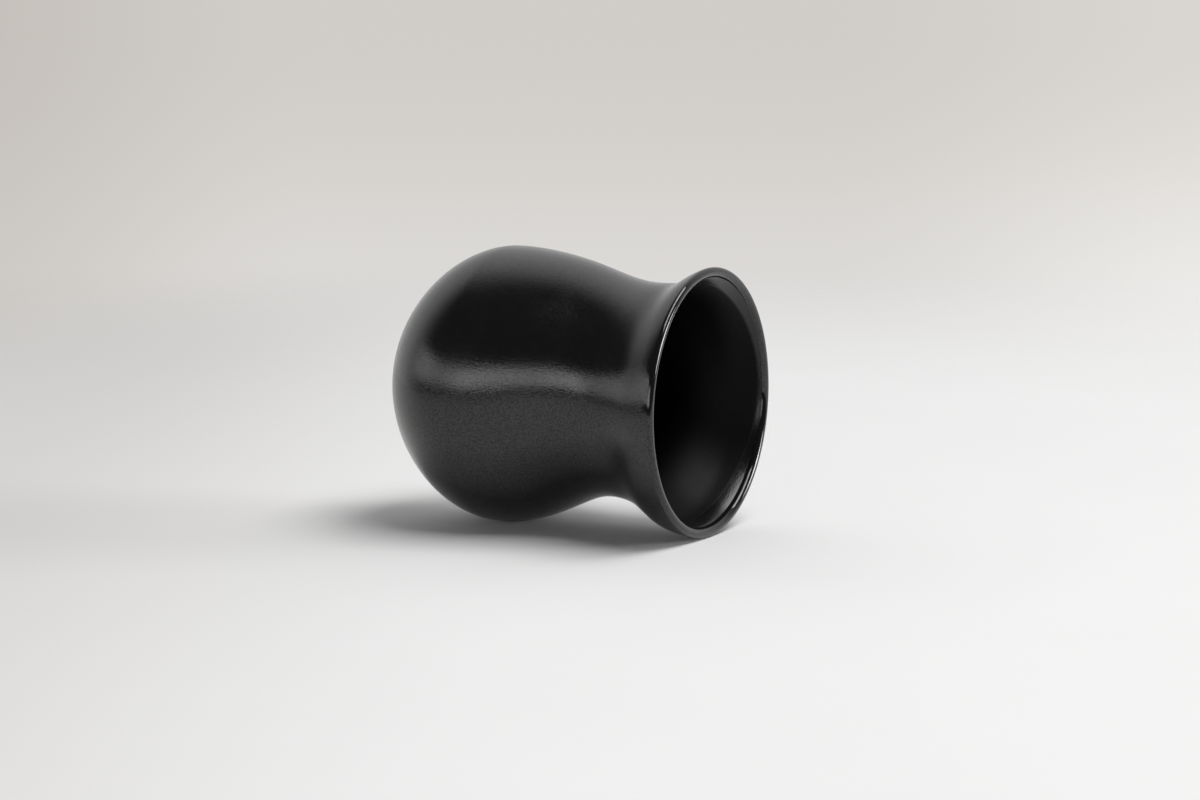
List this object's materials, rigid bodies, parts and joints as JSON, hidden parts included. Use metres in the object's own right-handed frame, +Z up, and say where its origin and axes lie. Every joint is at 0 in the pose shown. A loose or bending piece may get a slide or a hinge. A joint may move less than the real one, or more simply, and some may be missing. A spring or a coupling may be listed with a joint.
{
  "type": "tasting cup",
  "caption": "Stoneware tasting cup lying on its side: round belly, drawn-in waist and flared round lip, in satin black glaze, for sipping small pours.",
  "frame": {"origin": "middle of the cup's footprint on the surface that it lies on, half way along its length", "axes": "+Z up from the surface; +X along the lying cup towards its mouth; +Y across it. The cup's own axis lies in the XZ plane and dips 1.51 degrees towards the mouth, because the belly is wider than the lip"},
  "size_m": [0.0882, 0.0738, 0.0737],
  "materials": {
    "stoneware": "bare fired clay, matte",
    "satin_black_glaze": "satin black glaze with a fine grain",
    "liner_black_glaze": "satin black liner glaze",
    "base_black_glaze": "satin black glaze"
  },
  "bodies": {
    "root": {"clay_body": "stoneware", "outer_glaze": "satin_black_glaze", "inner_glaze": "liner_black_glaze", "base_glaze": "base_black_glaze"}
  },
  "joints": []
}
